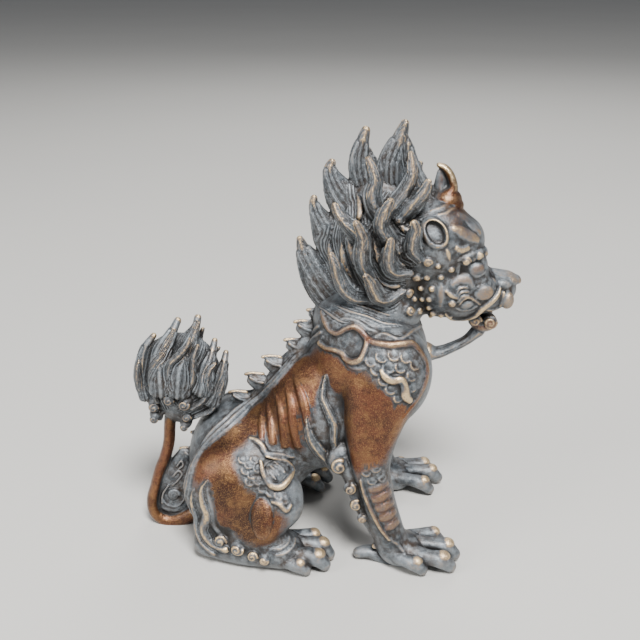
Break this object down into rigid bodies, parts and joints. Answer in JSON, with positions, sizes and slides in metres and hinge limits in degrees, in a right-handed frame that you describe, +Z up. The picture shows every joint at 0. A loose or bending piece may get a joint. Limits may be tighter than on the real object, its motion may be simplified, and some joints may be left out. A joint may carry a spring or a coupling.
{
  "type": "qilin statue",
  "caption": "Small cast bronze qilin seated upright, with a flame mane, finned back, flame tail and a beard propped on its chest, standing on flat soles.",
  "frame": {"origin": "on the ground plane, under the middle of the statue's length and width", "axes": "+X forward along the muzzle, +Y to the animal's left, +Z up"},
  "size_m": [0.175, 0.0946, 0.2002],
  "materials": {
    "bronze": "old brown patina, matt grey-green in the hollows, rubbed golden on raised edges"
  },
  "bodies": {
    "root": {"qilin": "bronze"}
  },
  "joints": []
}
